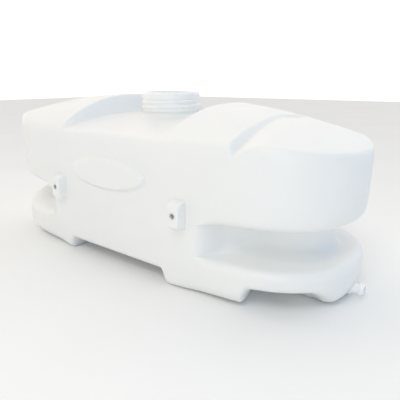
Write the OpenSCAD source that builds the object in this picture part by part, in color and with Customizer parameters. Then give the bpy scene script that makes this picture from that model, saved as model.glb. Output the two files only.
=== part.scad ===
/* [Tank body] */
// Length of the tank over its two rounded ends
body_l = 680; // [600:10:720]
// Depth of the tank from the front wall to the rear wall
body_d = 268; // [250:2:290]
// Height of the long front top edge above the feet
front_edge_h = 217; // [205:1:225]
// Height of the rear top edge above the feet
rear_edge_h = 226; // [215:1:235]
// Height of the highest point of the crowned top
crown_h = 268; // [258:1:275]
// Thickness of the moulded wall
wall = 4; // [3:0.5:5]

/* [Waist groove] */
// Height of the top of the base ledge
ledge_h = 61; // [56:1:66]
// Height of the underside of the overhanging hood
hood_h = 112; // [106:1:118]
// Depth of the groove at the four corners
waist_corner = 60; // [45:1:64]
// Depth of the groove in the middle of each end
waist_end = 36; // [28:1:44]
// Distance from the middle of the tank at which the groove begins
waist_from = 153; // [146:1:160]

/* [Top] */
// Half width of the well round the filler neck
well_w = 116; // [110:1:120]
// Distance along the tank of the crease in the right dome
crease_x = 214; // [208:1:218]
// Depth of the crease at the front edge
crease_deep = 13; // [8:1:15]

/* [Filler neck] */
// Outside diameter over the neck thread
neck_od = 100; // [96:1:104]
// Inside diameter of the neck
neck_bore = 86; // [80:1:88]
// Height of the moulded collar that the neck stands on
collar_h = 243; // [241:1:246]
// Height of the neck's rim
rim_h = 275; // [270:1:278]

/* [Outlet and lugs] */
// Outside diameter of the hose spigot
spigot_od = 16; // [14:1:18]
// Inside diameter of the hose spigot
spigot_bore = 11; // [8:1:12]
// Height of the spigot's axis above the feet
spigot_z = 15; // [14:0.5:16]
// How far the spigot stands out past the end of the tank
spigot_out = 13; // [12:1:20]
// Distance of each lug from the middle of the tank
lug_x = 132; // [125:1:138]
// Height of the threaded hole in each lug
lug_hole_z = 118; // [115:1:121]
// How far the lugs stand out from the front wall
lug_out = 15; // [12:1:18]

/* [Base] */
// Height of the arches between the feet
arch_h = 22; // [18:1:24]

/* [Hidden] */

half_l = body_l / 2;
half_d = body_d / 2;
end_power = 5.8;       // how square the plan outline is towards the ends
taper = 4;             // each end leans in by this much at the feet
base_flare = 3;        // the base stands out past the hood where the groove runs
quarter_ends = 8;      // stations on the curved end part of a quarter outline
quarter_sides = 14;    // stations on the long part of a quarter outline
end_share = 0.86;      // where the curved end part meets the long part
side_spread = 0.765;   // below 1 the stations crowd towards the ends
ring_count = 4 * (quarter_ends + quarter_sides);

rim_r = 15;            // rounding of the top edge
hood_r = 20;           // rounding of the hood's lower edge
ledge_r = 13;          // rounding of the base ledge
ledge_r_left = 8;      // the left ledge is rounded by this much more
waist_r = 9;           // rounding at the back of the groove, under the hood
waist_low_r = 24;      // and above the ledge
base_r = 12;           // rounding of the bottom edge in the middle of the tank
base_r_side = 42;      // towards the corners
base_r_end = 30;       // and round the two ends
side_turn = [90, 230]; // the bottom rounding grows between these distances from the middle
end_turn = [280, 330]; // and shrinks again between these
base_reach = 3;        // the bottom rounding starts this many radii in
round_share = 0.48;    // a rounding takes at most this share of each side of its corner
waist_run = 100;       // length over which the groove reaches its full depth at the right end
waist_run_left = 130;  // and at the left end
waist_soft = 34;       // the wall bends into the groove over this length
hood_rise = 5;         // the hood's underside is this much lower where the groove begins
ledge_rise = 13;       // the left ledge climbs by this much towards the end

crown_x = -130;        // the top is highest at this distance along the tank
crown_y = 45;          // and at this distance behind the middle
left_fall = 33;        // fall of the crown line at the left end
right_fall = 35;       // fall of the crown line before the right end
right_run = 384;
right_power = 2.7;
crown_power = 2.6;
front_fall = 14;       // fall of the front top edge towards the right end
front_from = 230;      // which begins here
rear_fall = 26;        // fall of the rear top edge towards both ends
rear_from = 150;       // which begins here
crease_end = 2;        // depth of the crease at the crown
crease_turn = -14;     // how far the crease bends to the left on its way to the crown
crease_return = 115;   // how hard it turns back to the right at the crown
crease_return_at = 0.8;  // the share of the way at which it turns back
crease_steep = 8;      // width of the crease's left slope
crease_gentle = 42;    // width of its right slope
crease_back = 1.2;     // the crease stops at this share of the way to the crown
crease_fade = 0.25;    // and fades out over this share
dip_run = 80;          // the inner skin dips under the crease over this distance each way

well_x = -10;
well_y = -5;
well_back = 100;
open_from = -15;       // the well's rear wall fades out from here to the right
open_run = 45;
well_slope = 0.1;      // share of the well's half width that its wall leans over
floor_edge = 215.5;
floor_rise = 20;
floor_top_y = 20;
well_limit = 0.97;     // the well's edge stays inside this share of the way to the rim

neck_x = 1;
neck_y = 6;
neck_r = neck_od / 2;
bore_r = neck_bore / 2;
collar_r = neck_r - 2;
collar_foot = 10;      // the floor turns up into the collar this far out
collar_fillet = [[2, 7], [0, 4]];  // steps of that turn: how far out and how far below the collar's top

foot_right = [101, 234];
foot_left = [-282, -122];
foot_blend = 14;
foot_share = [0.5, 0.62];  // the feet begin at this share of the way out from the spine
end_arch = 5;          // the arches at the ends are this much higher
arch_blend = 40;
spine = 200;           // half length of the line that the underside's rings close on
sump_x = 285;
sump_r = 50;
sump_long = 0.7;       // the sump is drawn out towards the end by this factor
sump_blend = 30;
under_rings = [0.05, 0.28, 0.38, 0.5, 0.62, 1];

oval_x = -13;
oval_z = 155;
oval_w = 85;
oval_tilt = 1.2;
oval_h = 27;
oval_out = 5;

lug_w = 22;
lug_z = [99, 138];
insert_r = 4;
insert_l = 12;
thread_r = 2.5;
insert_end = 2;        // thickness of the insert's closed end

flare_r = 11;
flare_l = 8;
spigot_seat = 3;       // depth of the seat that the flare sits in
boss_r = 13;           // the thick round boss that the seat is cut in
boss_l = 22;
spigot_x = half_l - taper;

// the origin is under the middle of the whole part, with the feet on the ground
shift = [-spigot_out / 2, lug_out / 2, 0];
fine = 0.01;

natural = [0.93, 0.94, 0.92];
neck_white = [0.96, 0.96, 0.95];
plated_steel = [0.62, 0.61, 0.58];

function ease(t) = let (c = min(1, max(0, t))) c * c * (3 - 2 * c);
function unit(v) = v / max(norm(v), 1e-9);
function between(a, b, t) = a + (b - a) * t;
function powabs(v, p) = pow(abs(v), p);

// ---- plan outline: a flat-sided oval, as points round from the right end ----
function end_point(y) = [half_l * pow(1 - pow(y / half_d, 2), 1 / end_power), y];
function side_point(x) = [x, half_d * sqrt(1 - pow(x / half_l, end_power))];
turn_y = side_point(end_share * half_l)[1];
quarter = concat(
    [for (i = [0 : quarter_ends - 1]) end_point(turn_y * i / quarter_ends)],
    [for (i = [0 : quarter_sides]) side_point(end_share * half_l * pow(1 - i / quarter_sides, side_spread))]);
q_last = len(quarter) - 1;
half_ring = concat(quarter, [for (i = [q_last - 1 : -1 : 1]) [-quarter[i][0], quarter[i][1]]]);
outline = concat(half_ring, [for (p = half_ring) -p]);

function outward(p) = unit([
    sign(p[0]) * end_power * powabs(p[0] / half_l, end_power - 1) / half_l,
    2 * p[1] / pow(half_d, 2)]);

// a point at height z, moved in from the outline by the given inset
function wall_point(p, inset, z) =
    let (lean = 1 - taper / half_l * (1 - min(1, z / front_edge_h)), n = outward(p))
    [p[0] * lean - n[0] * inset, p[1] - n[1] * inset, z];

// ---- groove ----
function groove(p) =
    let (from = abs(p[0]) - waist_from, run = p[0] < 0 ? waist_run_left : waist_run)
    (1 - pow(1 - min(1, max(0, from / run)), 2)) * ease(from / waist_soft);
function waist(p) = groove(p) *
    between(waist_end, waist_corner, 1 - pow(1 - pow(p[1] / half_d, 2), 2));
function hood_z(p) = hood_h - hood_rise * (1 - groove(p));
function ledge_z(p) = let (from = waist_from + waist_run)
    ledge_h + ledge_rise * ease((-p[0] - from) / (half_l - from));
function ledge_round(p) = ledge_r + ledge_r_left * ease((-p[0] - waist_from) / waist_run);

// ---- top ----
function crown_line(x) = let (d = x - crown_x)
    crown_h - (d < 0 ? left_fall * pow(d / (half_l + crown_x), 2)
                     : right_fall * pow(d / right_run, right_power));
function front_z(x) = front_edge_h - front_fall * ease((x - front_from) / (half_l - front_from));
function rear_z(x) = rear_edge_h - rear_fall * ease((abs(x) - rear_from) / (half_l - rear_from));
function crown(x, y) = let (c = crown_line(x))
    y < crown_y ? c - (c - front_z(x)) * pow((crown_y - y) / (crown_y + half_d), crown_power)
                : c - (c - rear_z(x)) * pow((y - crown_y) / (half_d - crown_y), crown_power);
function crease_line(back) = crease_x + crease_turn * back * back
    + crease_return * pow(max(0, back - crease_return_at), 1.5);
function crease_depth(back) = between(crease_end, crease_deep, pow(1 - min(1, back), 3));
// the inner skin dips smoothly under the crease that is cut into the outside
function dip(x, y) =
    let (back = min(1, (y + half_d) / (half_d + crown_y)))
    crease_depth(back) * ease(1 - abs(x - crease_line(back) - crease_gentle / 3) / dip_run);
function well_floor(y) = floor_edge + floor_rise * (1 - pow((y - floor_top_y) / (half_d + floor_top_y), 2));
// 1 on the well's rim, less inside it; the well is open to the front and to the rear right
function well_reach(dx, dy, grow) =
    let (back = dy < 0 ? 0 : dy / (well_back + grow) * (1 - ease((dx - open_from) / open_run)))
    pow(pow(dx / (well_w + grow), 4) + pow(back, 4), 1 / 4);
function top_z(x, y, grow = 0) =
    let (h = crown(x, y) - (grow > 0 ? dip(x, y) : 0),
         inside = ease((1 - well_reach(x - well_x, y - well_y, grow)) / well_slope))
    between(h, min(h, well_floor(y)), inside);

// ---- underside: arches between four feet and a drain sump at the right end ----
function in_range(v, r) = ease((v - r[0]) / foot_blend + 0.5) * ease((r[1] - v) / foot_blend + 0.5);
function feet(p, share) = (in_range(p[0], foot_right) + in_range(p[0], foot_left))
    * ease((share - foot_share[0]) / (foot_share[1] - foot_share[0]));
function sump(q) = let (along = q[0] - sump_x)
    ease((sump_r - norm([along > 0 ? along * sump_long : along, q[1]])) / sump_blend + 0.5);
function passed(x, r) = ease((abs(x) - r[0]) / (r[1] - r[0]));
function edge_r(p) = base_r + (base_r_side - base_r) * passed(p[0], side_turn)
    - (base_r_side - base_r_end) * passed(p[0], end_turn);
// a point of the underside, on the way from the spine out to the bottom edge of station p
function under_point(p, share, skin) =
    let (w = wall_point(p, edge_r(p), 0), mid = min(spine, max(-spine, w[0])),
         q = [between(mid, w[0], share), w[1] * share],
         high = arch_h + end_arch * ease((abs(q[0]) - spine) / arch_blend))
    [q[0], q[1], high * (1 - min(1, feet(p, share) + sump(q))) + skin];

// ---- wall section: rounded corners joined by straight stretches ----
function corner(a, b, c, r, n) =
    let (s = b + unit(a - b) * min(r, norm(a - b) * round_share),
         e = b + unit(c - b) * min(r, norm(c - b) * round_share))
    [for (i = [0 : n]) let (t = i / n) between(between(s, b, t), between(b, e, t), t)];

// inset and height of each ring of a station, skin is 0 outside and the wall thickness inside
function section(p, skin, n) =
    let (w = waist(p),
         r = edge_r(p),
         flare = skin - base_flare * groove(p),
         low = under_point(p, 1, skin)[2],
         edge_z = top_z(p[0], p[1], skin) - skin,
         inner = wall_point(p, rim_r + skin, front_edge_h),
         inner_z = top_z(inner[0], inner[1], skin) - skin,
         a = [flare, low], b = [flare, ledge_z(p) - skin], c = [w + skin, ledge_z(p) - skin],
         d = [w + skin, hood_z(p) + skin], e = [skin, hood_z(p) + skin],
         f = [skin, edge_z], g = [rim_r + skin, inner_z])
    concat(
        [for (i = [1 : n]) corner([base_reach * r, low], a, b, r - flare, n)[i]],
        corner(a, b, c, max(1, min(ledge_round(p) - skin / 2, w / 2)), n),
        corner(b, c, d, min(waist_low_r, w / 2), n - 1),
        corner(c, d, e, min(waist_r, w / 2), n - 1),
        corner(d, e, f, max(1, min(hood_r - skin, w / 2)), n),
        corner(e, f, g, rim_r, n));

// rings of the top, from the rim in to the filler hole
function toward_well(p, skin, share) =
    let (q = wall_point(p, rim_r + skin, front_edge_h),
         v = [q[0] - well_x, q[1] - well_y],
         t = min(well_limit, 1 / max(well_reach(v[0], v[1], skin), 1e-6)),
         s = share <= 1 ? between(1, t, share) : t * (2 - share),
         x = well_x + v[0] * s, y = well_y + v[1] * s)
    [x, y, top_z(x, y, skin) - skin];
function toward_neck(p, skin, share, r) =
    let (q = toward_well(p, skin, 1 + well_slope),
         v = unit([q[0] - neck_x, q[1] - neck_y]),
         x = between(q[0], neck_x + v[0] * r, share), y = between(q[1], neck_y + v[1] * r, share))
    [x, y, well_floor(y) - skin];
function on_collar(p, r, z) =
    let (q = toward_well(p, 0, 1 + well_slope), v = unit([q[0] - neck_x, q[1] - neck_y]))
    [neck_x + v[0] * r, neck_y + v[1] * r, z];

function outer_station(p) = concat(
    [for (s = under_rings) under_point(p, s, 0)],
    [for (c = section(p, 0, 3)) wall_point(p, c[0], c[1])],
    [for (s = [0.25, 0.5, 0.75, 1, 1 + well_slope]) toward_well(p, 0, s)],
    [for (s = [0.5, 1]) toward_neck(p, 0, s, collar_r + collar_foot)],
    [for (f = collar_fillet) on_collar(p, collar_r + f[0], collar_h - f[1])],
    [for (r = [collar_r, bore_r]) on_collar(p, r, collar_h)]);
function inner_station(p) = concat(
    [toward_neck(p, wall, 1, bore_r), toward_neck(p, wall, 0.4, bore_r)],
    [for (s = [1 + well_slope, 1, 0.66, 0.33]) toward_well(p, wall, s)],
    let (c = section(p, wall, 2)) [for (i = [len(c) - 1 : -1 : 0]) wall_point(p, c[i][0], c[i][1])],
    [for (i = [len(under_rings) - 1 : -1 : 0]) under_point(p, under_rings[i], wall)]);

module skin_of_tank() {
    stations = [for (p = outline) concat(outer_station(p), inner_station(p))];
    rows = len(stations[0]);
    points = concat([for (s = stations) each s],
        [[0, 0, arch_h], [0, 0, arch_h + wall]]);
    below = len(points) - 2;
    above = len(points) - 1;
    function at(i, j) = (i % ring_count) * rows + j;
    faces = [for (i = [0 : ring_count - 1]) each concat(
        [[below, at(i, 0), at(i + 1, 0)]],
        [for (j = [0 : rows - 2]) each [
            [at(i, j), at(i, j + 1), at(i + 1, j + 1)],
            [at(i, j), at(i + 1, j + 1), at(i + 1, j)]]],
        [[above, at(i + 1, rows - 1), at(i, rows - 1)]])];
    polyhedron(points, faces, convexity = 8);
}

// a wedge that follows the crown and opens the crease in it
module crease_wedge() {
    steps = 10;
    over = 12;         // the wedge stands out over the skin by this much
    rows = [for (i = [-1 : steps])
        let (back = crease_back * i / steps,
             y = -half_d + back * (half_d + crown_y),
             x = crease_line(max(0, back)),
             deep = crease_depth(max(0, back)) * ease((crease_back - back) / crease_fade),
             low = crown(x, y) - deep, spread = 1 + over / crease_deep)
        [[x - crease_steep * spread, y, low + crease_deep + over], [x, y, low],
         [x + crease_gentle * spread, y, low + crease_deep + over]]];
    count = len(rows);
    sides = [for (i = [0 : count - 2]) for (j = [0 : 2])
        let (k = (j + 1) % 3, a = 3 * i + j, b = 3 * i + k)
        each [[a, b, b + 3], [a, b + 3, a + 3]]];
    last = 3 * (count - 1);
    polyhedron([for (r = rows) each r], concat(sides, [[2, 1, 0], [last, last + 1, last + 2]]));
}

module lug_block(side) {
    inside = 2;
    translate([side * lug_x - lug_w / 2, -half_d - lug_out, lug_z[0]])
        cube([lug_w, lug_out + inside, lug_z[1] - lug_z[0]]);
}

module insert_pocket(side, r, l) {
    translate([side * lug_x, -half_d - lug_out, lug_hole_z])
        rotate([90, 0, 0])
            translate([0, 0, -l])
                cylinder(r = r, h = l + fine, $fn = 48);
}

// a round bar on the spigot's axis, from the given distance past the end of the shell
module spigot_bar(r, from, l) {
    translate([spigot_x + from, 0, spigot_z]) rotate([0, 90, 0]) cylinder(r = r, h = l, $fn = 64);
}

module label_pad() {
    inside = 2;
    sides = 48;
    turn = 360 / sides;
    points = [for (i = [0 : sides - 1]) [oval_w * cos(turn * i), oval_h * sin(turn * i)]];
    translate([oval_x, -half_d + inside, oval_z])
        rotate([90, -oval_tilt, 0])
            linear_extrude(oval_out + inside) polygon(points);
}

module tank_shell() {
    color(natural) translate(shift) difference() {
        union() {
            skin_of_tank();
            lug_block(-1);
            lug_block(1);
            label_pad();
            spigot_bar(boss_r, -boss_l, boss_l);
        }
        crease_wedge();
        insert_pocket(-1, insert_r, insert_l);
        insert_pocket(1, insert_r, insert_l);
        spigot_bar(spigot_od / 2, -2 * boss_l, 3 * boss_l);
        spigot_bar(flare_r, -spigot_seat, boss_l);
    }
}

module filler_neck() {
    lip = 2;
    color(neck_white) translate(shift) translate([neck_x, neck_y, 0])
        rotate_extrude($fn = 128) polygon([
            [bore_r, collar_h], [collar_r, collar_h], [collar_r, collar_h + lip],
            [neck_r, collar_h + 2 * lip], [neck_r, rim_h - 2 * lip],
            [neck_r - lip, rim_h], [bore_r, rim_h]]);
}

module outlet_spigot() {
    outside = spigot_x - spigot_seat;
    tip = half_l + spigot_out;
    lip = 1;
    color(neck_white) translate(shift) translate([0, 0, spigot_z]) rotate([0, 90, 0])
        rotate_extrude($fn = 96) polygon([
            [spigot_bore / 2, outside - 2 * spigot_seat], [spigot_od / 2, outside - 2 * spigot_seat],
            [spigot_od / 2, outside], [flare_r, outside], [flare_r, outside + spigot_seat],
            [spigot_od / 2, outside + spigot_seat + flare_l], [spigot_od / 2, tip - lip],
            [spigot_od / 2 - lip, tip], [spigot_bore / 2, tip]]);
}

module lug_insert(side) {
    color(plated_steel) translate(shift) difference() {
        insert_pocket(side, insert_r, insert_l - fine);
        insert_pocket(side, thread_r, insert_l - insert_end);
    }
}

tank_shell();
filler_neck();
outlet_spigot();
lug_insert(-1);  // lug_insert_left
lug_insert(1);  // lug_insert_right
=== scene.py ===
"""Looks of a long moulded plastic tank: milky polyethylene skin, threaded neck, hose spigot, steel inserts.

The tank is worked out in millimetres about its own middle, with the feet at height 0, then moved into the
frame.
"""
import math

import bmesh
import bpy
import numpy as np
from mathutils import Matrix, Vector


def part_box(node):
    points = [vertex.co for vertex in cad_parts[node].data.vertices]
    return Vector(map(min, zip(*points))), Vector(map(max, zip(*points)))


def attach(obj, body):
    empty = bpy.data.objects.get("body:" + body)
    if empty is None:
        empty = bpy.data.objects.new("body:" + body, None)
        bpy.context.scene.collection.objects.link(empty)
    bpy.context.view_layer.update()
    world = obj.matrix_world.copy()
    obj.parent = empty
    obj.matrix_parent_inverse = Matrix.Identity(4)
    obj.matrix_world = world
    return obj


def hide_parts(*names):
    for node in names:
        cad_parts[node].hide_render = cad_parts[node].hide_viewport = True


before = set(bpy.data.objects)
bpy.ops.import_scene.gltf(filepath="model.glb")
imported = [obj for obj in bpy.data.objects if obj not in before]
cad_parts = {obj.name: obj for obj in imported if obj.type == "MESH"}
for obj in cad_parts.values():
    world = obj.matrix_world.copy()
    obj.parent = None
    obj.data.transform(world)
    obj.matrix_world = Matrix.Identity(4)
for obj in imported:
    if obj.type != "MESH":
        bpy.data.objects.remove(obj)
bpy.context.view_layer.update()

MM = 0.001
TINY = 1e-9

# ---- driving dimensions of the tank, in millimetres ----
HALF_L = 340.0
HALF_D = 134.0
FRONT_EDGE = 217.0
REAR_EDGE = 226.0
CROWN = 268.0
WALL = 4.0
END_POWER = 5.8
END_SHARE = 0.86        # the side curve of the outline runs out to this share of the half length
TAPER = 4.0
BASE_FLARE = 3.0        # the base stands out past the hood where the groove runs

LEDGE = 61.0
LEDGE_RISE = 13.0       # the ledge climbs this much towards the left end
HOOD = 112.0
HOOD_RISE = 5.0
WAIST_CORNER = 60.0     # depth of the groove at the corners
WAIST_END = 36.0        # and in the middle of an end
WAIST_FROM = 153.0
WAIST_RUN = 100.0
WAIST_RUN_LEFT = 130.0
WAIST_SOFT = 34.0

RIM_R = 15.0
HOOD_R = 20.0
LEDGE_R = 13.0
LEDGE_R_LEFT = 8.0      # what the ledge's round gains at the left end
WAIST_R = 9.0
WAIST_LOW_R = 24.0
SMALLEST_R = 1.0
CORNER_LIMIT = 0.48     # a rounded corner takes at most this share of either side
BASE_REACH = 3          # the underside leaves the wall this many corner radii in
BASE_R = 12.0
BASE_R_SIDE = 42.0
BASE_R_SIDE_FROM = 90.0
BASE_R_SIDE_RUN = 140.0
BASE_R_END = 30.0
BASE_R_END_FROM = 280.0
BASE_R_END_RUN = 50.0

CROWN_X = -130.0
CROWN_Y = 45.0
CROWN_POWER = 2.6
LEFT_FALL = 33.0
RIGHT_FALL = 35.0
RIGHT_RUN = 384.0
RIGHT_POWER = 2.7
FRONT_FALL = 14.0
FRONT_FALL_FROM = 230.0
REAR_FALL = 26.0
REAR_FALL_FROM = 150.0

CREASE_X = 214.0
CREASE_TURN = -14.0
CREASE_RETURN = 115.0
CREASE_RETURN_AT = 0.8
CREASE_RETURN_POWER = 1.5
CREASE_DEEP = 13.0      # depth at the front wall
CREASE_END = 3.4        # and at the crown line
CREASE_POWER = 3        # how fast it gets shallower
CREASE_STEEP = 9.0
CREASE_GENTLE = 36.0
CREASE_BACK = 1.3
CREASE_FADE = 0.3
DIP_RUN = 80.0
DIP_MIDDLE = CREASE_GENTLE / 3

WELL_W = 116.0
WELL_X = -10.0
WELL_Y = -5.0
WELL_BACK = 100.0
WELL_POWER = 4
WELL_SLOPE = 0.1        # share of the well's half width that its wall leans over
WELL_LIMIT = 0.97       # the well's edge stays inside this share of the way to the rim
OPEN_FROM = -15.0       # the well's rear wall fades out from here to the right
OPEN_RUN = 45.0
FLOOR_EDGE = 215.5
FLOOR_RISE = 20.0
FLOOR_TOP_Y = 20.0

ARCH = 22.0
END_ARCH = 5.0
END_ARCH_RUN = 40.0
SPINE = 200.0
FOOT_RIGHT = (101.0, 234.0)
FOOT_LEFT = (-282.0, -122.0)
FOOT_BLEND = 14.0
FOOT_SHARE = (0.5, 0.62)
SUMP_X = 285.0
SUMP_R = 50.0
SUMP_LONG = 0.7         # towards the end the sump is longer: distances count by this share
SUMP_BLEND = 30.0

OVAL_X = -13.0
OVAL_Z = 155.0
OVAL_W = 85.0
OVAL_H = 27.0
OVAL_OUT = 5.0
OVAL_TILT = math.radians(1.2)
OVAL_EDGE = 6.0

LUG_X = 132.0
LUG_OUT = 15.0
LUG_HALF_W = 11.0
LUG_Z = (99.0, 138.0)
LUG_SIDE_ROUND = 3.0
LUG_LOW_ROUND = 2.5
LUG_TOP_ROUND = 8.0
RELIEF_REACH = LUG_X + 30

# ---- neck, spigot and inserts, in millimetres ----
FOOT_FILLET = 11.0      # width of the fillet round the collar
FOOT_RISE = 7.5         # and its height
NECK_STEP = 2.0         # the collar and the neck stand inside the thread by this
NECK_WALL = 7.0
BAND_IN = 0.8
BAND_H = 12.0
BAND_BLEND = 1.5
RIM_ROUND = 4.5
BORE_ROUND = 1.5
THREAD_IN = 0.1
THREAD_LOW = 4.8
THREAD_PITCH = 7.6
THREAD_TURNS = 1.75
THREAD_W = 4.6
THREAD_FLANK = 3        # a flank takes the ridge's width divided by this
THREAD_FADE = 0.35
THREAD_STARTS_AT = math.radians(110)
SPIGOT_R = 8.0
SPIGOT_BORE = 5.5
SPIGOT_SEAT = 3.0
SPIGOT_FLARE = 9.0
BEAD_BACK = 6.5
BEAD_L = 3.5
BEAD_H = 0.7
TIP_R = 1.2
INSERT_BORE = 2.5
INSERT_THREAD = 0.35
INSERT_PITCH = 1.0
INSERT_CHAMFER = 0.7
INSERT_END = 2.0        # thickness of the insert's closed end
PIN_R = 0.2             # the ring that closes an end shrinks to this
LUG_HOLE_SPARE = 5.0    # a cutter reaches this far out of the lug
SUMP_HOLE_IN = 20.0     # and this far behind the spigot's root
SUMP_HOLE_OUT = 5.0

# ---- how closely the skin's columns and rows stand ----
STEP_LUG_SIDE = 0.7
STEP_LUG = 1.4
STEP_CREASE = 1.5
STEP_OVAL = 2.0
STEP_FRONT = 3.4
STEP_REAR = 4.0
SIDE_BAND = 4.0
CREASE_BAND = (-16.0, 24.0)
END_COLUMNS = 64
CORNER_ROWS = 10
TOP_ROWS = 176
SLOPE_ROWS = 15
FLOOR_ROWS = 24
FILLET_ROWS = 9
# Shares of a stretch where its rows stand: closer at the feet, at the lugs' edges and over the oval pad.
UNDER_ROWS = np.concatenate([
    np.linspace(0.02, 0.48, 14),
    np.linspace(0.5, 0.64, 10),
    np.linspace(0.68, 1, 8)])
GROOVE_BACK_ROWS = np.concatenate([np.linspace(0.06, 0.7, 12), np.linspace(0.74, 0.98, 11)])
HOOD_WALL_ROWS = np.concatenate([
    np.linspace(0.02, 0.2, 10),
    np.linspace(0.22, 0.4, 18),
    np.linspace(0.42, 0.98, 22)])
# The inner skin is smoother and needs fewer.
INNER_CORNER_ROWS = 5
INNER_FLOOR_ROWS = (1, 0.7, 0.35)
INNER_TOP_ROWS = (1 + WELL_SLOPE, 1.05, 1, 0.85, 0.7, 0.55, 0.4, 0.2)
INNER_UNDER_ROWS = (1, 0.8, 0.64, 0.57, 0.5, 0.38, 0.28, 0.15, 0.02)
NECK_STEPS = 256
NECK_ROW = 0.4
SPIGOT_STEPS = 96
INSERT_STEPS = 72
INSERT_ROW = 0.16
HOLE_STEPS = 96

# ---- studio ----
FLOOR = 6.0
LIT_POINT = (0, 0, 0.15)
BACKWARDS = (-0.6, 0.8, 0)
SIDEWAYS = (0.9, 0, -0.43)
FRONT_SKY = (0.36, 0.36, 0.36)
TOP_SKY = (0.72, 0.72, 0.72)
BACK_SKY = (1.12, 1.12, 1.14)
BACK_SKY_FROM = 0.62
WARM_TINT = (1.06, 0.99, 0.9)
NO_TINT = (1, 0.995, 0.98)
COOL_TINT = (0.4, 0.82, 1.35)
LENS = 36.0
SENSOR = 36.0
EYE = np.array([466.6, -532.7, 292.5])
EYE_DOWN = 16.57
EYE_TURN = 36.79


def ease(t):
    c = np.clip(t, 0, 1)
    return c * c * (3 - 2 * c)


def between(a, b, t):
    return a + (b - a) * t


def box_mm(node):
    """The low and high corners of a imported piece, in millimetres."""
    low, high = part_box(node)
    return np.array(low) / MM, np.array(high) / MM


# ---- plan outline ----
def end_points(y):
    return np.stack([HALF_L * (1 - (y / HALF_D) ** 2) ** (1 / END_POWER), y], axis=1)


def side_points(x, side):
    return np.stack([x, side * HALF_D * np.sqrt(1 - np.abs(x / HALF_L) ** END_POWER)], axis=1)


def front_step(x):
    """How far apart the columns stand on the front wall: closer where there is more to show."""
    from_lug = abs(abs(x) - LUG_X)
    if abs(from_lug - LUG_HALF_W) < SIDE_BAND:
        return STEP_LUG_SIDE
    if from_lug < LUG_HALF_W:
        return STEP_LUG
    if CREASE_BAND[0] < x - CREASE_X < CREASE_BAND[1]:
        return STEP_CREASE
    if abs(x - OVAL_X) < OVAL_W + SIDE_BAND:
        return STEP_OVAL
    return STEP_FRONT


def rear_step(x):
    return STEP_REAR


def spread(start, stop, step):
    """Positions from start up to stop, spaced by step(x), evened out to end exactly at stop."""
    marks = [start]
    while marks[-1] < stop:
        marks.append(marks[-1] + step(marks[-1]))
    marks = np.array(marks)
    return start + (marks - start) * (stop - start) / (marks[-1] - start)


def plan_outline():
    side_x = END_SHARE * HALF_L
    turn_y = HALF_D * math.sqrt(1 - END_SHARE ** END_POWER)
    rear = side_points(spread(-side_x, side_x, rear_step)[::-1], 1)
    front = side_points(spread(-side_x, side_x, front_step), -1)
    half_turn = np.linspace(-turn_y, turn_y, END_COLUMNS)[1:-1]
    right = end_points(half_turn)
    left = end_points(half_turn[::-1]) * [-1, 1]
    return np.concatenate([right, rear, left, front])


def outward(p):
    n = np.stack([
        np.sign(p[:, 0]) * END_POWER * np.abs(p[:, 0] / HALF_L) ** (END_POWER - 1) / HALF_L,
        2 * p[:, 1] / HALF_D ** 2], axis=1)
    return n / np.linalg.norm(n, axis=1, keepdims=True)


def wall_point(p, inset, z):
    """Points at height z, moved in from the outline by the inset."""
    inset = np.broadcast_to(inset, len(p))
    z = np.broadcast_to(z, len(p))
    lean = 1 - TAPER / HALF_L * (1 - np.minimum(1, z / FRONT_EDGE))
    n = outward(p)
    return np.stack([p[:, 0] * lean - n[:, 0] * inset, p[:, 1] - n[:, 1] * inset, z], axis=1)


# ---- groove ----
def groove(p):
    """0 on the plain wall, rising to 1 where the groove has its full depth."""
    far = np.abs(p[:, 0]) - WAIST_FROM
    t = np.clip(far / np.where(p[:, 0] < 0, WAIST_RUN_LEFT, WAIST_RUN), 0, 1)
    return (1 - (1 - t) ** 2) * ease(far / WAIST_SOFT)


def waist(p):
    corner = 1 - (1 - (p[:, 1] / HALF_D) ** 2) ** 2
    return groove(p) * between(WAIST_END, WAIST_CORNER, corner)


def hood_z(p):
    return HOOD - HOOD_RISE * (1 - groove(p))


def ledge_z(p):
    start = WAIST_FROM + WAIST_RUN
    return LEDGE + LEDGE_RISE * ease((-p[:, 0] - start) / (HALF_L - start))


def ledge_round(p):
    return LEDGE_R + LEDGE_R_LEFT * ease((-p[:, 0] - WAIST_FROM) / WAIST_RUN)


# ---- top ----
def crown_line(x):
    d = x - CROWN_X
    left = LEFT_FALL * (np.minimum(d, 0) / (HALF_L + CROWN_X)) ** 2
    right = RIGHT_FALL * (np.maximum(d, 0) / RIGHT_RUN) ** RIGHT_POWER
    return CROWN - left - right


def crown(x, y):
    c = crown_line(x)
    front = FRONT_EDGE - FRONT_FALL * ease((x - FRONT_FALL_FROM) / (HALF_L - FRONT_FALL_FROM))
    rear = REAR_EDGE - REAR_FALL * ease((np.abs(x) - REAR_FALL_FROM) / (HALF_L - REAR_FALL_FROM))
    ahead = c - (c - front) * (np.maximum(CROWN_Y - y, 0) / (CROWN_Y + HALF_D)) ** CROWN_POWER
    behind = c - (c - rear) * (np.maximum(y - CROWN_Y, 0) / (HALF_D - CROWN_Y)) ** CROWN_POWER
    return np.where(y < CROWN_Y, ahead, behind)


def crease_share(y):
    """0 at the front wall, 1 at the crown line and more than 1 behind it."""
    return np.maximum(0, (y + HALF_D) / (HALF_D + CROWN_Y))


def crease_line(y):
    back = crease_share(y)
    turned = CREASE_RETURN * np.maximum(0, back - CREASE_RETURN_AT) ** CREASE_RETURN_POWER
    return CREASE_X + CREASE_TURN * back * back + turned


def crease_depth(y):
    back = crease_share(y)
    forward = (1 - np.minimum(back, 1)) ** CREASE_POWER
    return between(CREASE_END, CREASE_DEEP, forward) * ease((CREASE_BACK - back) / CREASE_FADE)


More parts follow.
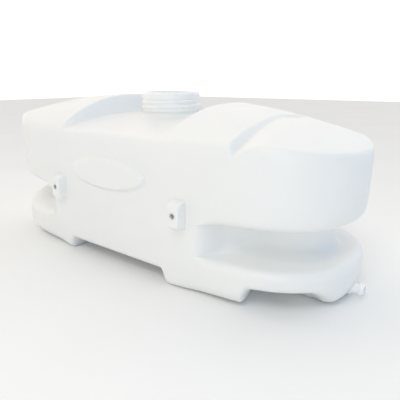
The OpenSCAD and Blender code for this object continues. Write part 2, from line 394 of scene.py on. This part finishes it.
def dip(x, y):
    """How far the inner skin dips under the crease."""
    return crease_depth(y) * ease(1 - np.abs(x - crease_line(y) - DIP_MIDDLE) / DIP_RUN)


def crease(x, y):
    """How far the outer skin dips at the crease: steep on its left, gentle on its right."""
    d = x - crease_line(y)
    left = ease(1 + d / CREASE_STEEP)
    right = np.clip(1 - d / CREASE_GENTLE, 0, 1) ** 2
    return crease_depth(y) * np.where(d < 0, left, right)


def well_floor(y):
    return FLOOR_EDGE + FLOOR_RISE * (1 - ((y - FLOOR_TOP_Y) / (HALF_D + FLOOR_TOP_Y)) ** 2)


def well_reach(dx, dy, grow=0.0):
    """How far out of the well's middle a point is: 1 on the well's edge."""
    back = np.where(dy < 0, 0, dy / (WELL_BACK + grow) * (1 - ease((dx - OPEN_FROM) / OPEN_RUN)))
    return ((dx / (WELL_W + grow)) ** WELL_POWER + back ** WELL_POWER) ** (1 / WELL_POWER)


def top_z(x, y, grow=0.0):
    h = crown(x, y) - (dip(x, y) if grow > 0 else crease(x, y))
    inside = ease((1 - well_reach(x - WELL_X, y - WELL_Y, grow)) / WELL_SLOPE)
    return between(h, np.minimum(h, well_floor(y)), inside)


# ---- underside ----
def in_range(v, r):
    return ease((v - r[0]) / FOOT_BLEND + 0.5) * ease((r[1] - v) / FOOT_BLEND + 0.5)


def feet(x, share):
    rise = ease((share - FOOT_SHARE[0]) / (FOOT_SHARE[1] - FOOT_SHARE[0]))
    return (in_range(x, FOOT_RIGHT) + in_range(x, FOOT_LEFT)) * rise


def sump(x, y):
    along = np.where(x > SUMP_X, (x - SUMP_X) * SUMP_LONG, x - SUMP_X)
    return ease((SUMP_R - np.hypot(along, y)) / SUMP_BLEND + 0.5)


def edge_r(p):
    """Radius of the bottom edge: small in the middle, wide at the corners, less so at the ends."""
    x = np.abs(p[:, 0])
    side = (BASE_R_SIDE - BASE_R) * ease((x - BASE_R_SIDE_FROM) / BASE_R_SIDE_RUN)
    end = (BASE_R_SIDE - BASE_R_END) * ease((x - BASE_R_END_FROM) / BASE_R_END_RUN)
    return BASE_R + side - end


def under_point(p, share, skin):
    """Points of the underside, from its spine at share 0 out to the bottom edge at share 1."""
    w = wall_point(p, edge_r(p), 0)
    mid = np.clip(w[:, 0], -SPINE, SPINE)
    x = between(mid, w[:, 0], share)
    y = w[:, 1] * share
    high = ARCH + END_ARCH * ease((np.abs(x) - SPINE) / END_ARCH_RUN)
    z = high * (1 - np.minimum(1, feet(p[:, 0], share) + sump(x, y))) + skin
    return np.stack([x, y, z], axis=1)


# ---- wall section ----
def corner(a, b, c, r, n):
    """A rounded corner at b, as n + 1 points of a quadratic curve."""
    def reach(q):
        gap = np.linalg.norm(q - b, axis=1, keepdims=True)
        unit = (q - b) / np.maximum(gap, TINY)
        size = np.reshape(np.broadcast_to(r, len(b)), (-1, 1))
        return b + unit * np.minimum(size, gap * CORNER_LIMIT)
    s, e = reach(a), reach(c)
    return [between(between(s, b, t), between(b, e, t), t) for t in np.linspace(0, 1, n + 1)]


def joined(corners, stretches):
    """Puts the corners one after another, with rows at the given shares of the stretches between them."""
    rows = list(corners[0])
    for nxt, shares in zip(corners[1:], stretches):
        start, stop = rows[-1], nxt[0]
        rows += [between(start, stop, s) for s in shares]
        rows += nxt
    return rows


def even(n):
    return np.linspace(0, 1, n + 2)[1:-1]


def section(p, skin, n, detail):
    """Inset and height of every row up the wall, from the bottom edge to the rim."""
    w = waist(p)
    r = edge_r(p)
    flare = skin - BASE_FLARE * groove(p)
    low = under_point(p, 1, skin)[:, 2]
    edge_z = top_z(p[:, 0], p[:, 1], skin) - skin
    inner = wall_point(p, RIM_R + skin, FRONT_EDGE)
    inner_z = top_z(inner[:, 0], inner[:, 1], skin) - skin

    def at(inset, z):
        return np.stack([np.broadcast_to(inset, len(p)), np.broadcast_to(z, len(p))], axis=1)

    a, b, c = at(flare, low), at(flare, ledge_z(p) - skin), at(w + skin, ledge_z(p) - skin)
    d, e = at(w + skin, hood_z(p) + skin), at(skin, hood_z(p) + skin)
    f, g = at(skin, edge_z), at(RIM_R + skin, inner_z)
    ledge_size = np.maximum(SMALLEST_R, np.minimum(ledge_round(p) - skin / 2, w / 2))
    hood_size = np.maximum(SMALLEST_R, np.minimum(HOOD_R - skin, w / 2))
    base = corner(at(BASE_REACH * r, low), a, b, r - flare, n)[1:]
    ledge = corner(a, b, c, ledge_size, n)
    back_low = corner(b, c, d, np.minimum(WAIST_LOW_R, w / 2), n - 1)
    back_high = corner(c, d, e, np.minimum(WAIST_R, w / 2), n - 1)
    hood = corner(d, e, f, hood_size, n)
    rim = corner(e, f, g, RIM_R, n)
    corners = [base, ledge, back_low, back_high, hood, rim]
    if not detail:
        return joined(corners, [[], [], [], [], []])
    return joined(corners, [even(7), even(9), GROOVE_BACK_ROWS, even(7), HOOD_WALL_ROWS])


# ---- rings of the top ----
def toward_well(p, skin, share):
    """share 0 is the rim's inner edge, 1 the edge of the well, more than 1 inside it."""
    q = wall_point(p, RIM_R + skin, FRONT_EDGE)
    v = q[:, :2] - [WELL_X, WELL_Y]
    t = np.minimum(WELL_LIMIT, 1 / np.maximum(well_reach(v[:, 0], v[:, 1], skin), TINY))
    s = between(1, t, share) if share <= 1 else t * (2 - share)
    x = WELL_X + v[:, 0] * s
    y = WELL_Y + v[:, 1] * s
    return np.stack([x, y, top_z(x, y, skin) - skin], axis=1)


def floor_ring(p, skin, share, x0, y0, radius):
    """A ring on the well's floor, from its edge (share 0) to a circle (share 1), and its directions."""
    q = toward_well(p, skin, 1 + WELL_SLOPE)
    v = q[:, :2] - [x0, y0]
    unit = v / np.linalg.norm(v, axis=1, keepdims=True)
    xy = between(q[:, :2], [x0, y0] + unit * radius, share)
    return np.column_stack([xy, well_floor(xy[:, 1]) - skin]), unit


# ---- raised parts of the front wall ----
def shoulder(d, edge):
    """0 outside, 1 well inside, with a rounded shoulder of the given width."""
    t = np.clip(d / edge, 0, 1)
    return np.sqrt(1 - (1 - t) ** 2)


def relief(x, z):
    """How far the oval pad and the lugs stand out of the front wall."""
    c, s = math.cos(OVAL_TILT), math.sin(OVAL_TILT)
    u = (x - OVAL_X) * c + (z - OVAL_Z) * s
    v = (z - OVAL_Z) * c - (x - OVAL_X) * s
    norm = np.hypot(u / OVAL_W, v / OVAL_H)
    slope = np.hypot(u / OVAL_W ** 2, v / OVAL_H ** 2) / np.maximum(norm, TINY)
    pad = OVAL_OUT * ease((1 - norm) / np.maximum(slope, TINY) / OVAL_EDGE)
    across = shoulder(LUG_HALF_W - np.abs(np.abs(x) - LUG_X), LUG_SIDE_ROUND)
    up = shoulder(z - LUG_Z[0], LUG_LOW_ROUND) * shoulder(LUG_Z[1] - z, LUG_TOP_ROUND)
    return np.maximum(pad, LUG_OUT * across * up)


# ---- the tank's skin ----
def tank_shift():
    """From the tank's own middle to the frame: the lugs stand as far left as right of the tank's middle."""
    left, right = (np.mean(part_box("lug_insert_" + side), axis=0) / MM for side in ("left", "right"))
    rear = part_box("tank_shell")[1][1] / MM
    return np.array([(left[0] + right[0]) / 2, rear - HALF_D, 0])


def neck_place():
    """The neck's middle, the heights of its foot and rim and its outside radius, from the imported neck."""
    low, high = box_mm("filler_neck")
    return (low + high) / 2, low[2], high[2], (high[0] - low[0]) / 2


SHIFT = tank_shift()
neck_middle, collar_z, rim_z, neck_r = neck_place()
collar_r = neck_r - NECK_STEP
bore_r = neck_r - NECK_WALL


def outer_rows(p, neck_x, neck_y):
    """Rings of the outer skin, from the spine of the underside up, over the top and in to the neck's bore."""
    rows = [under_point(p, s, 0) for s in UNDER_ROWS]
    front = (p[:, 1] < 0) & (np.abs(p[:, 0]) < RELIEF_REACH)
    for c in section(p, 0, CORNER_ROWS, True):
        row = wall_point(p, c[:, 0], c[:, 1])
        row[:, 1] -= np.where(front, relief(row[:, 0], row[:, 2]), 0)
        rows.append(row)
    rows += [toward_well(p, 0, s) for s in np.linspace(0, 1, TOP_ROWS)[1:]]
    rows += [toward_well(p, 0, s) for s in np.linspace(1, 1 + WELL_SLOPE, SLOPE_ROWS)[1:]]
    for share in np.linspace(0, 1, FLOOR_ROWS)[1:]:
        row, unit = floor_ring(p, 0, share, neck_x, neck_y, collar_r + FOOT_FILLET)
        rows.append(row)
    for turn in np.linspace(0, math.pi / 2, FILLET_ROWS)[1:]:
        radius = collar_r + FOOT_FILLET * (1 - math.sin(turn))
        xy = [neck_x, neck_y] + unit * radius
        rows.append(np.column_stack([xy, well_floor(xy[:, 1]) + FOOT_RISE * (1 - math.cos(turn))]))
    collar_xy = [neck_x, neck_y] + unit * collar_r
    foot_z = rows[-1][:, 2]
    rows += [np.column_stack([collar_xy, between(foot_z, collar_z, s)]) for s in (0.5, 1)]
    bore_xy = [neck_x, neck_y] + unit * bore_r
    rows.append(np.column_stack([bore_xy, np.full(len(p), collar_z)]))
    return rows


def inner_rows(p, neck_x, neck_y):
    """Rings of the inner skin, from the bore back down to the spine."""
    rows = [floor_ring(p, WALL, s, neck_x, neck_y, bore_r)[0] for s in INNER_FLOOR_ROWS]
    rows += [toward_well(p, WALL, s) for s in INNER_TOP_ROWS]
    rows += [wall_point(p, c[:, 0], c[:, 1]) for c in section(p, WALL, INNER_CORNER_ROWS, False)[::-1]]
    rows += [under_point(p, s, WALL) for s in INNER_UNDER_ROWS]
    return rows


def tidy_mesh(obj, merge=2e-6):
    bm = bmesh.new()
    bm.from_mesh(obj.data)
    bmesh.ops.remove_doubles(bm, verts=bm.verts, dist=merge)
    bmesh.ops.dissolve_degenerate(bm, edges=bm.edges, dist=merge)
    bmesh.ops.recalc_face_normals(bm, faces=bm.faces)
    bm.to_mesh(obj.data)
    bm.free()
    obj.data.polygons.foreach_set("use_smooth", [True] * len(obj.data.polygons))


def mesh_object(name, points, faces):
    """A smooth object from points in millimetres."""
    mesh = bpy.data.meshes.new(name)
    mesh.from_pydata((points * MM).tolist(), [], faces)
    obj = bpy.data.objects.new(name, mesh)
    bpy.context.scene.collection.objects.link(obj)
    tidy_mesh(obj)
    return obj


def build_tank():
    """The hollow tank as one closed skin, made of rings that all have the outline's number of points."""
    p = plan_outline()
    middle = neck_middle - SHIFT
    rows = outer_rows(p, middle[0], middle[1]) + inner_rows(p, middle[0], middle[1])
    ring = len(p)
    i = np.arange(ring)
    faces = []
    for j in range(len(rows) - 1):
        a = j * ring + i
        b = j * ring + (i + 1) % ring
        faces.append(np.stack([a, b, b + ring, a + ring], axis=1))
    faces = np.concatenate(faces).tolist()
    faces.append(list(range(ring))[::-1])
    faces.append(list(range((len(rows) - 1) * ring, len(rows) * ring)))
    return mesh_object("tank_skin", np.concatenate(rows) + SHIFT, faces)


def cut_hole(obj, radius, start, stop, axis_point, axis):
    """Cuts a round hole through a skin, from start to stop along the axis."""
    bpy.ops.mesh.primitive_cylinder_add(vertices=HOLE_STEPS, radius=radius * MM, depth=(stop - start) * MM)
    tool = bpy.context.object
    if axis == "X":
        tool.rotation_euler = (0, math.pi / 2, 0)
        tool.location = Vector(((start + stop) / 2, axis_point[1], axis_point[2])) * MM
    else:
        tool.rotation_euler = (math.pi / 2, 0, 0)
        tool.location = Vector((axis_point[0], (start + stop) / 2, axis_point[2])) * MM
    cut = obj.modifiers.new("hole", "BOOLEAN")
    cut.operation = "DIFFERENCE"
    cut.solver = "MANIFOLD"
    cut.object = tool
    bpy.context.view_layer.objects.active = obj
    bpy.ops.object.modifier_apply(modifier=cut.name)
    bpy.data.objects.remove(tool)


def cut_holes(obj):
    """The holes that the two inserts and the spigot sit in."""
    for side in ("left", "right"):
        low, high = box_mm("lug_insert_" + side)
        radius = (high[0] - low[0]) / 2
        cut_hole(obj, radius, low[1] - LUG_HOLE_SPARE, high[1], (low + high) / 2, "Y")
    low, high = box_mm("outlet_spigot")
    cut_hole(obj, SPIGOT_R, low[0] - SUMP_HOLE_IN, high[0] + SUMP_HOLE_OUT, (low + high) / 2, "X")


# ---- turned pieces ----
def turned_mesh(name, rings, axis_point, axis):
    """A closed ring-shaped mesh from rings of (along, radius) per turn step, round an axis of the frame."""
    steps = len(rings[0])
    turn = np.linspace(0, 2 * math.pi, steps, endpoint=False)
    points = []
    for ring in rings:
        along, radius = ring[:, 0], ring[:, 1]
        if axis == "Z":
            points.append(np.stack([radius * np.cos(turn), radius * np.sin(turn), along], axis=1))
        elif axis == "X":
            points.append(np.stack([along, radius * np.cos(turn), radius * np.sin(turn)], axis=1))
        else:
            points.append(np.stack([radius * np.cos(turn), along, radius * np.sin(turn)], axis=1))
    i = np.arange(steps)
    faces = []
    for j in range(len(rings)):
        here = j * steps
        there = (j + 1) % len(rings) * steps
        faces.append(np.stack([here + i, here + (i + 1) % steps, there + (i + 1) % steps, there + i], axis=1))
    return mesh_object(name, np.concatenate(points) + axis_point, np.concatenate(faces).tolist())


def plain_rings(profile, steps):
    return [np.tile(np.array(point, dtype=float), (steps, 1)) for point in profile]


def arc(centre, radius, start, stop, n):
    """Points (along, radius) of an arc; the angle is 0 outwards from the axis and 90 degrees along it."""
    angles = np.radians(np.linspace(start, stop, n))
    return [(centre[0] + radius * math.sin(t), centre[1] + radius * math.cos(t)) for t in angles]


def thread_height(turn, along, start):
    """1 on the ridge of a helix that climbs one pitch a turn, 0 away from it, fading at both its ends."""
    height = np.zeros_like(turn)
    for lap in range(math.ceil(THREAD_TURNS) + 1):
        travelled = turn + 2 * math.pi * lap
        off = np.abs(along - start - THREAD_PITCH * travelled / (2 * math.pi))
        left = THREAD_TURNS * 2 * math.pi - travelled
        ends = ease(travelled / THREAD_FADE) * ease(left / THREAD_FADE)
        ridge = ease((THREAD_W / 2 - off) / (THREAD_W / THREAD_FLANK))
        height = np.maximum(height, ridge * ends)
    return height


def build_neck():
    """The threaded neck with a plain band under its rounded rim."""
    turn = np.linspace(0, 2 * math.pi, NECK_STEPS, endpoint=False)
    ahead = np.mod(turn - THREAD_STARTS_AT, 2 * math.pi)
    rings = []
    for z in np.arange(collar_z, rim_z - RIM_ROUND, NECK_ROW):
        band = ease((z - (rim_z - BAND_H)) / BAND_BLEND)
        plain = neck_r - NECK_STEP + (NECK_STEP - BAND_IN) * band
        ridge = thread_height(ahead, np.full(NECK_STEPS, z), collar_z + THREAD_LOW)
        radius = np.maximum(plain, neck_r - NECK_STEP + (NECK_STEP - THREAD_IN) * ridge)
        rings.append(np.stack([np.full(NECK_STEPS, z), radius], axis=1))
    rim = arc((rim_z - RIM_ROUND, neck_r - BAND_IN - RIM_ROUND), RIM_ROUND, 0, 90, 9)
    rim += arc((rim_z - BORE_ROUND, bore_r + BORE_ROUND), BORE_ROUND, 90, 180, 6)
    inside = [(z, bore_r) for z in np.linspace(rim_z - BORE_ROUND, collar_z, 6)[1:]]
    rings += plain_rings(rim + inside, NECK_STEPS)
    return turned_mesh("threaded_neck", rings, [neck_middle[0], neck_middle[1], 0], "Z")


def build_spigot():
    """The hose spigot, from its root inside the wall out to its beaded tip."""
    low, high = box_mm("outlet_spigot")
    flare_r = (high[2] - low[2]) / 2
    root, tip = low[0], high[0]
    seat = root + SPIGOT_SEAT
    start = seat + SPIGOT_SEAT
    flare = [(start + t * SPIGOT_FLARE, SPIGOT_R + (flare_r - SPIGOT_R) * (1 - t) ** 2)
             for t in np.linspace(0, 1, 10)]
    bead = [(tip - BEAD_BACK + t * BEAD_L, SPIGOT_R + BEAD_H * math.sin(math.pi * t))
            for t in np.linspace(0, 1, 9)]
    end = arc((tip - TIP_R, SPIGOT_R - TIP_R), TIP_R, 0, 90, 6)
    end += arc((tip - TIP_R / 2, SPIGOT_BORE + TIP_R / 2), TIP_R / 2, 90, 180, 5)
    profile = [(root, SPIGOT_BORE), (root, SPIGOT_R), (seat, SPIGOT_R), (seat, flare_r)] + flare + bead + end
    rings = plain_rings(profile, SPIGOT_STEPS)
    return turned_mesh("hose_spigot", rings, [0, (low[1] + high[1]) / 2, (low[2] + high[2]) / 2], "X")


def build_insert(side):
    """A threaded bush, moulded into its lug, with a chamfered mouth and a closed end."""
    low, high = box_mm("lug_insert_" + side)
    outside = (high[0] - low[0]) / 2
    turn = np.linspace(0, 2 * math.pi, INSERT_STEPS, endpoint=False)
    back = high[1] - low[1]
    edge = INSERT_CHAMFER / 2
    mouth_r = INSERT_BORE + INSERT_CHAMFER
    outer = [(back, PIN_R), (back, outside), (edge, outside), (0, outside - edge), (0, mouth_r)]
    rings = plain_rings(outer, INSERT_STEPS)
    for y in np.arange(INSERT_CHAMFER, back - INSERT_END, INSERT_ROW):
        wave = np.cos(2 * math.pi * (y / INSERT_PITCH) - turn)
        rings.append(np.stack([np.full(INSERT_STEPS, y), INSERT_BORE + INSERT_THREAD * wave], axis=1))
    rings += plain_rings([(back - INSERT_END, PIN_R)], INSERT_STEPS)
    mouth = [(low[0] + high[0]) / 2, low[1], (low[2] + high[2]) / 2]
    return turned_mesh("insert_bush_" + side, rings, mouth, "Y")


# ---- materials ----
class Nodes:
    """Small helper that adds nodes to a material and joins them up."""

    def __init__(self, name):
        self.material = bpy.data.materials.new(name)
        self.material.use_nodes = True
        self.tree = self.material.node_tree
        self.shader = self.tree.nodes["Principled BSDF"]
        self.place = self.tree.nodes.new("ShaderNodeTexCoord").outputs["Object"]

    def join(self, source, target):
        self.tree.links.new(source, target)

    def drive(self, socket, source):
        self.join(source, self.shader.inputs[socket])

    def fix(self, socket, value):
        self.shader.inputs[socket].default_value = value

    def stretched(self, scale):
        mapping = self.tree.nodes.new("ShaderNodeMapping")
        mapping.inputs["Scale"].default_value = scale
        self.join(self.place, mapping.inputs["Vector"])
        return mapping.outputs["Vector"]

    def noise(self, scale, detail, stretch=(1, 1, 1)):
        noise = self.tree.nodes.new("ShaderNodeTexNoise")
        noise.inputs["Scale"].default_value = scale
        noise.inputs["Detail"].default_value = detail
        self.join(self.stretched(stretch), noise.inputs["Vector"])
        return noise.outputs["Fac"]

    def ranged(self, value, low, high, start=0.3, stop=0.7):
        span = self.tree.nodes.new("ShaderNodeMapRange")
        span.inputs["From Min"].default_value = start
        span.inputs["From Max"].default_value = stop
        span.inputs["To Min"].default_value = low
        span.inputs["To Max"].default_value = high
        self.join(value, span.inputs["Value"])
        return span.outputs["Result"]

    def mixed(self, factor, first, second):
        mix = self.tree.nodes.new("ShaderNodeMix")
        mix.data_type = "RGBA"
        mix.inputs["A"].default_value = (*first, 1)
        mix.inputs["B"].default_value = (*second, 1)
        self.join(factor, mix.inputs["Factor"])
        return mix.outputs["Result"]

    def bump(self, height, strength, distance, under=None):
        bump = self.tree.nodes.new("ShaderNodeBump")
        bump.inputs["Strength"].default_value = strength
        bump.inputs["Distance"].default_value = distance
        self.join(height, bump.inputs["Height"])
        if under is not None:
            self.join(under, bump.inputs["Normal"])
        return bump.outputs["Normal"]


def moulded_plastic(name, thick_tint, thin_tint, roughness, grain_scale, grain_depth):
    """Milky natural polyethylene: cloudy colour, uneven gloss, soft sink marks and a fine moulded grain."""
    nodes = Nodes(name)
    clouds = nodes.ranged(nodes.noise(scale=7, detail=3, stretch=(1, 1, 1.6)), low=0, high=1)
    nodes.drive("Base Color", nodes.mixed(clouds, thick_tint, thin_tint))
    gloss = nodes.ranged(nodes.noise(scale=38, detail=5), low=roughness - 0.06, high=roughness + 0.07)
    nodes.drive("Roughness", gloss)
    sink = nodes.bump(nodes.noise(scale=16, detail=1), strength=0.25, distance=0.0006)
    grain = nodes.bump(nodes.noise(grain_scale, detail=2), strength=0.3, distance=grain_depth, under=sink)
    nodes.drive("Normal", grain)
    nodes.fix("IOR", 1.5)
    nodes.fix("Subsurface Weight", 0.6)
    nodes.fix("Subsurface Radius", (1.0, 0.95, 0.85))
    nodes.fix("Subsurface Scale", 0.003)
    return nodes.material


def plated_steel(name, dark, light):
    """Zinc plated steel: dull, spotted, with fine turning marks."""
    nodes = Nodes(name)
    spots = nodes.ranged(nodes.noise(scale=900, detail=4), low=0, high=1)
    nodes.drive("Base Color", nodes.mixed(spots, dark, light))
    nodes.drive("Roughness", nodes.ranged(nodes.noise(scale=1500, detail=3), low=0.3, high=0.5))
    marks = nodes.noise(scale=5000, detail=2, stretch=(1, 0.1, 1))
    nodes.drive("Normal", nodes.bump(marks, strength=0.3, distance=0.0001))
    nodes.fix("Metallic", 1.0)
    return nodes.material


def studio_paint(name, dark, light):
    """Pale floor paint, faintly mottled and nearly matt."""
    nodes = Nodes(name)
    mottle = nodes.ranged(nodes.noise(scale=3, detail=3), low=0, high=1)
    nodes.drive("Base Color", nodes.mixed(mottle, dark, light))
    nodes.drive("Roughness", nodes.ranged(nodes.noise(scale=120, detail=4), low=0.8, high=0.95))
    nodes.drive("Normal", nodes.bump(nodes.noise(scale=600, detail=3), strength=0.1, distance=0.0002))
    nodes.fix("Specular IOR Level", 0.2)
    return nodes.material


# ---- studio ----
def area_light(name, place, size, watts, colour):
    data = bpy.data.lights.new(name, "AREA")
    data.size = size
    data.energy = watts
    data.color = colour
    obj = bpy.data.objects.new(name, data)
    obj.location = place
    obj.rotation_euler = (Vector(LIT_POINT) - Vector(place)).to_track_quat("-Z", "Y").to_euler()
    bpy.context.scene.collection.objects.link(obj)


def ramp_along(tree, direction, direction_from, colours):
    """Colours across the sky, from one side of the studio to the other along a direction."""
    dot = tree.nodes.new("ShaderNodeVectorMath")
    dot.operation = "DOT_PRODUCT"
    dot.inputs[1].default_value = direction
    tree.links.new(direction_from, dot.inputs[0])
    span = tree.nodes.new("ShaderNodeMapRange")
    span.inputs["From Min"].default_value = -1
    tree.links.new(dot.outputs["Value"], span.inputs["Value"])
    ramp = tree.nodes.new("ShaderNodeValToRGB")
    tree.links.new(span.outputs["Result"], ramp.inputs["Fac"])
    elements = ramp.color_ramp.elements
    elements[0].color = (*colours[0][1], 1)
    elements[1].color = (*colours[-1][1], 1)
    for place, colour in colours[1:-1]:
        elements.new(place).color = (*colour, 1)
    return ramp.outputs["Color"]


def studio_world():
    """A white studio, dimmer in front of the tank, a little warm on its left and cool on its right."""
    world = bpy.data.worlds.new("studio")
    world.use_nodes = True
    tree = world.node_tree
    place = tree.nodes.new("ShaderNodeTexCoord").outputs["Generated"]
    skies = [(0, FRONT_SKY), (0.5, TOP_SKY), (BACK_SKY_FROM, BACK_SKY), (1, BACK_SKY)]
    depth = ramp_along(tree, BACKWARDS, place, skies)
    tint = ramp_along(tree, SIDEWAYS, place, [(0, WARM_TINT), (0.5, NO_TINT), (1, COOL_TINT)])
    both = tree.nodes.new("ShaderNodeMix")
    both.data_type = "RGBA"
    both.blend_type = "MULTIPLY"
    both.inputs["Factor"].default_value = 1.0
    tree.links.new(depth, both.inputs["A"])
    tree.links.new(tint, both.inputs["B"])
    tree.links.new(both.outputs["Result"], tree.nodes["Background"].inputs["Color"])
    tree.nodes["Background"].inputs["Strength"].default_value = 1.0
    return world


def studio_floor():
    mesh = bpy.data.meshes.new("floor")
    corners = [(-FLOOR, -FLOOR, 0), (FLOOR, -FLOOR, 0), (FLOOR, FLOOR, 0), (-FLOOR, FLOOR, 0)]
    mesh.from_pydata(corners, [], [(0, 1, 2, 3)])
    obj = bpy.data.objects.new("floor", mesh)
    bpy.context.scene.collection.objects.link(obj)
    return obj


def studio_camera():
    data = bpy.data.cameras.new("camera")
    data.lens = LENS
    data.sensor_width = SENSOR
    obj = bpy.data.objects.new("camera", data)
    obj.location = (EYE + SHIFT) * MM
    obj.rotation_euler = (math.radians(90 - EYE_DOWN), 0, math.radians(EYE_TURN))
    bpy.context.scene.collection.objects.link(obj)
    return obj


def finish_piece(obj, node, material):
    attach(obj, "root")
    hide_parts(node)
    obj.data.materials.clear()
    obj.data.materials.append(material)


# ---- build ----
tank = build_tank()
cut_holes(tank)
neck = build_neck()
spigot = build_spigot()
inserts = {side: build_insert(side) for side in ("left", "right")}

shell_plastic = moulded_plastic(
    "natural_polyethylene", thick_tint=(0.885, 0.885, 0.865), thin_tint=(0.905, 0.905, 0.89),
    roughness=0.34, grain_scale=900, grain_depth=0.0002)
# A paler copy of the shell's polyethylene. On the neck the lighter colour is painted light, brightening it
# where the well shades its foot. The spigot is paler, more translucent plastic in its own right.
pale_plastic_and_painted_light = moulded_plastic(
    "neck_polyethylene", thick_tint=(0.93, 0.93, 0.92), thin_tint=(0.95, 0.95, 0.94),
    roughness=0.3, grain_scale=1600, grain_depth=0.0001)
steel = plated_steel("insert_steel", dark=(0.42, 0.41, 0.39), light=(0.62, 0.61, 0.57))
finish_piece(tank, "tank_shell", shell_plastic)
finish_piece(neck, "filler_neck", pale_plastic_and_painted_light)
finish_piece(spigot, "outlet_spigot", pale_plastic_and_painted_light)
for side, insert in inserts.items():
    finish_piece(insert, "lug_insert_" + side, steel)

floor = studio_floor()
floor.data.materials.append(studio_paint("floor_paint", dark=(0.92, 0.92, 0.915), light=(0.94, 0.94, 0.935)))

scene = bpy.context.scene
scene.view_settings.view_transform = "Standard"
scene.world = studio_world()
area_light("key", place=(0.5, -1.5, 1.95), size=0.8, watts=11, colour=(1, 1, 0.98))
area_light("fill", place=(1.3, -1.9, 0.7), size=1.2, watts=8, colour=(0.92, 0.98, 1))
scene.camera = studio_camera()
